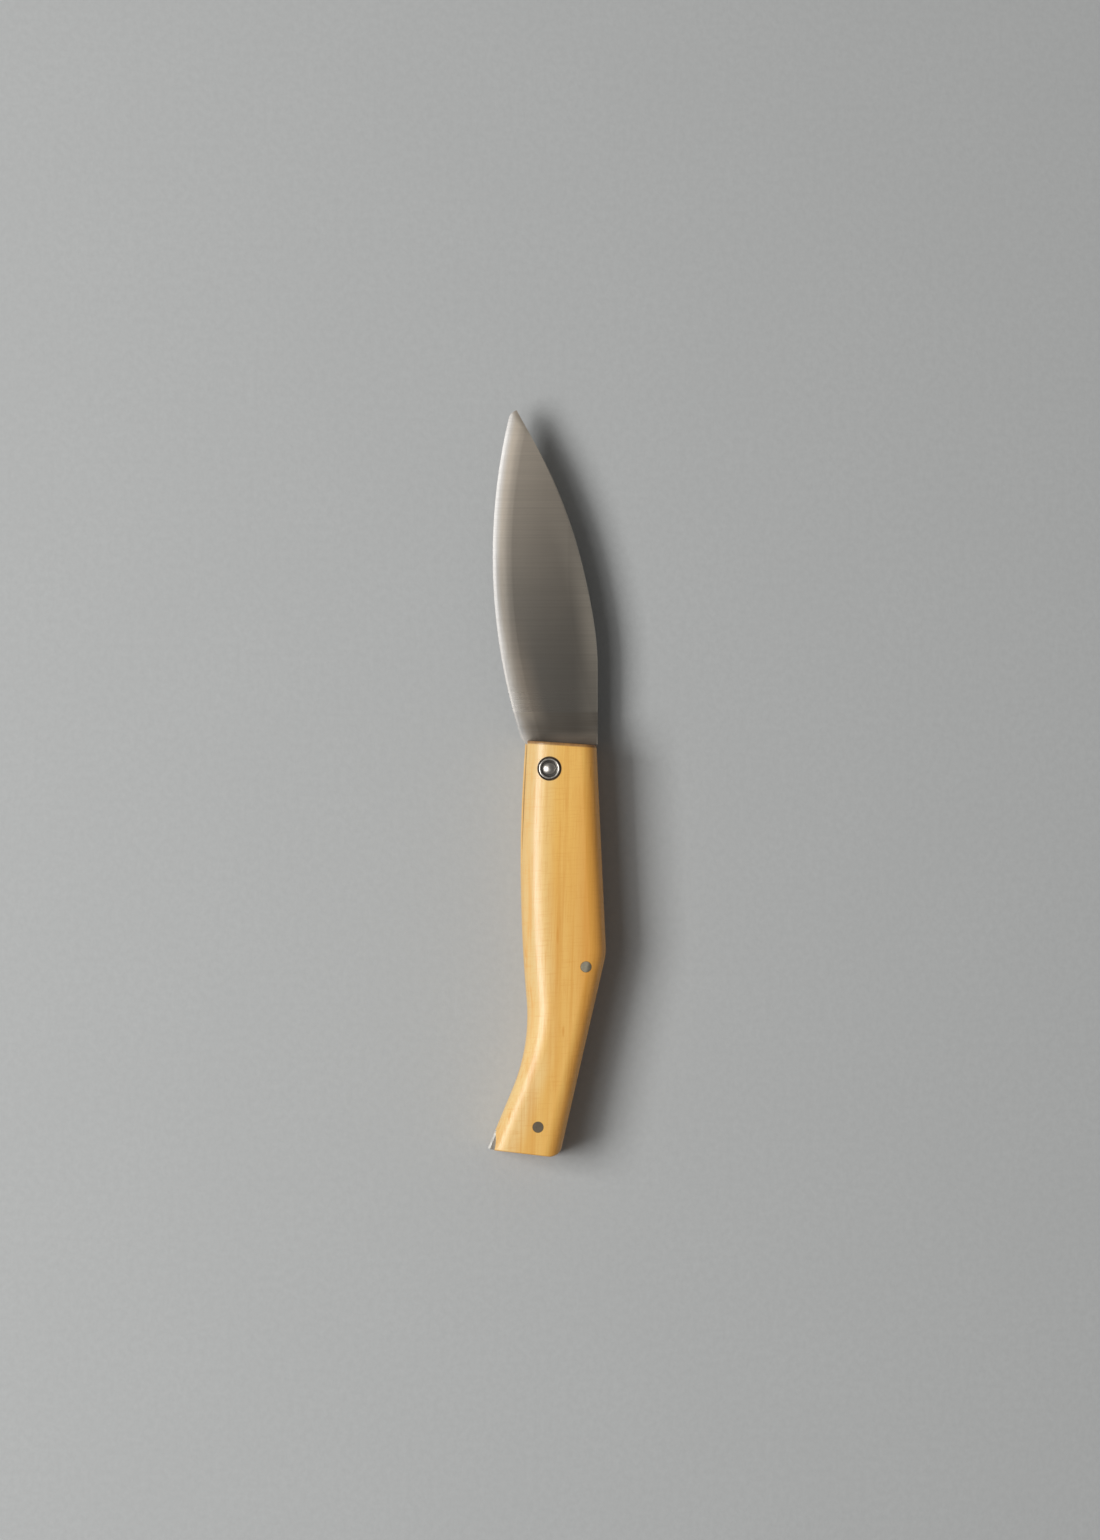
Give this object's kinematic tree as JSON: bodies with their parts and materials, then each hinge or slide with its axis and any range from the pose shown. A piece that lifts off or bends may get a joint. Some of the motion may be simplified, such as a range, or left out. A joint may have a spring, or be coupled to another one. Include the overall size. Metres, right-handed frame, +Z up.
{
  "type": "folding pocket knife",
  "caption": "Slip-joint folding pocket knife: a wide curved steel blade that folds into a slotted, beaked wooden handle with a back spring and a riveted pivot.",
  "frame": {"origin": "bottom centre of the open knife's box, on the surface that it lies on", "axes": "+Y along the knife from the butt to the tip of the open blade, +X towards the back of the knife, +Z up through the handle's thickness"},
  "size_m": [0.0282, 0.179, 0.015],
  "materials": {
    "boxwood": "sanded and waxed, fine straight grain",
    "blade_steel": "satin, ground across the blade",
    "spring_steel": "filed, slightly dull",
    "rivet_steel": "polished peened dome",
    "washer_steel": "turned, semi-bright",
    "pin_steel": "filed flush, dull"
  },
  "bodies": {
    "handle": {"front_scale": "boxwood", "back_scale": "boxwood", "back_spring": "spring_steel", "pivot_rivet": "rivet_steel", "front_pivot_washer": "washer_steel", "back_pivot_washer": "washer_steel", "spring_pin": "pin_steel", "tail_pin": "pin_steel"},
    "blade": {"blade": "blade_steel"}
  },
  "joints": [
    {"name": "blade_fold", "type": "hinge", "parent": "handle", "child": "blade", "pos_m": [0.00056, 0.00349, 0.0075], "axis": [0, 0, 1], "range_deg": [0, 169], "deforming": ["back_spring"]}
  ]
}
